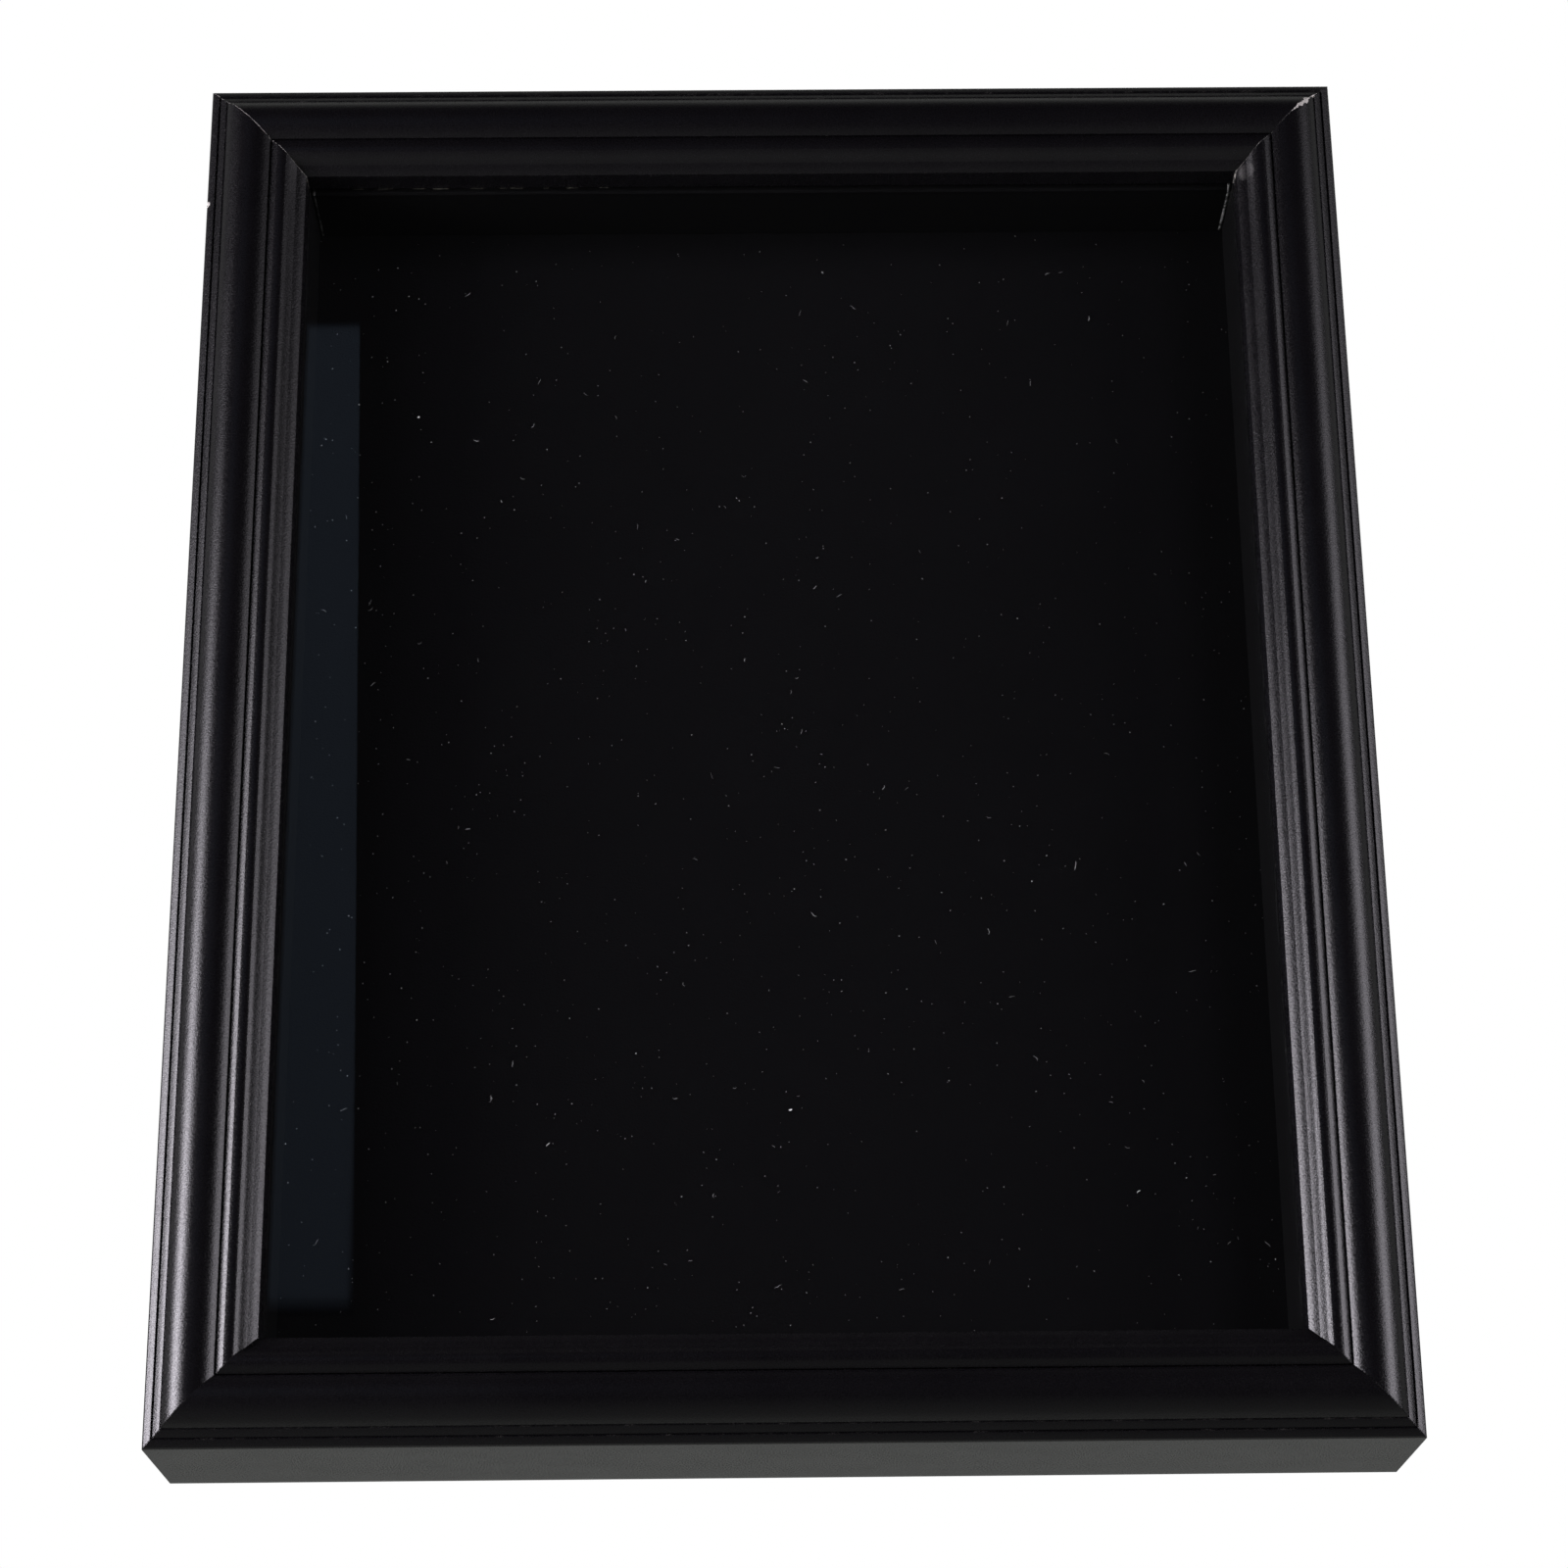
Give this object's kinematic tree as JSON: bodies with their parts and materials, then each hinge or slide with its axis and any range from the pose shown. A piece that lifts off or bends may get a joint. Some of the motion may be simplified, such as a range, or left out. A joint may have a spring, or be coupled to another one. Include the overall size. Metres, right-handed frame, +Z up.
{
  "type": "shadow box",
  "caption": "Deep upright picture-frame display box with a moulded black frame, glass front and a removable velvet-covered back panel held by turn buttons.",
  "frame": {"origin": "centre of the bottom edge, midway between the back plane and the front of the moulding", "axes": "+Z up as the box stands or hangs, display facing -Y, back panel leaves towards +Y, +X to the viewer's right"},
  "size_m": [0.235, 0.0396, 0.286],
  "materials": {
    "black_painted_wood": "satin",
    "black_spacer_card": "matte",
    "clear_glass": "polished",
    "black_velvet": "matte",
    "foam_board": "matte",
    "hardboard": "matte",
    "bright_steel": "satin",
    "zinc_plated_steel": "satin",
    "brassed_steel": "satin"
  },
  "bodies": {
    "frame": {"top_rail": "black_painted_wood", "bottom_rail": "black_painted_wood", "left_rail": "black_painted_wood", "right_rail": "black_painted_wood", "top_spacer": "black_spacer_card", "bottom_spacer": "black_spacer_card", "left_spacer": "black_spacer_card", "right_spacer": "black_spacer_card", "glass_pane": "clear_glass", "corner_v_nails": "bright_steel", "turn_button_screws": "zinc_plated_steel", "top_hanger": "brassed_steel", "side_hanger": "brassed_steel", "hanger_nails": "brassed_steel"},
    "back_panel": {"velvet_cover": "black_velvet", "foam_pad": "foam_board", "back_board": "hardboard"},
    "button_left_upper": {"turn_button_left_upper": "zinc_plated_steel"},
    "button_left_lower": {"turn_button_left_lower": "zinc_plated_steel"},
    "button_right_upper": {"turn_button_right_upper": "zinc_plated_steel"},
    "button_right_lower": {"turn_button_right_lower": "zinc_plated_steel"}
  },
  "joints": [
    {"name": "back_panel_slide", "type": "slide", "parent": "frame", "child": "back_panel", "axis": [0, 1, 0], "range_m": [0, 0.06]},
    {"name": "button_left_upper_turn", "type": "hinge", "parent": "frame", "child": "button_left_upper", "pos_m": [-0.1064, 0.01715, 0.218], "axis": [0, -1, 0], "range_deg": [-180, 0]},
    {"name": "button_left_lower_turn", "type": "hinge", "parent": "frame", "child": "button_left_lower", "pos_m": [-0.1064, 0.01715, 0.068], "axis": [0, 1, 0], "range_deg": [-180, 0]},
    {"name": "button_right_upper_turn", "type": "hinge", "parent": "frame", "child": "button_right_upper", "pos_m": [0.1064, 0.01715, 0.218], "axis": [0, 1, 0], "range_deg": [-180, 0]},
    {"name": "button_right_lower_turn", "type": "hinge", "parent": "frame", "child": "button_right_lower", "pos_m": [0.1064, 0.01715, 0.068], "axis": [0, -1, 0], "range_deg": [-180, 0]}
  ]
}
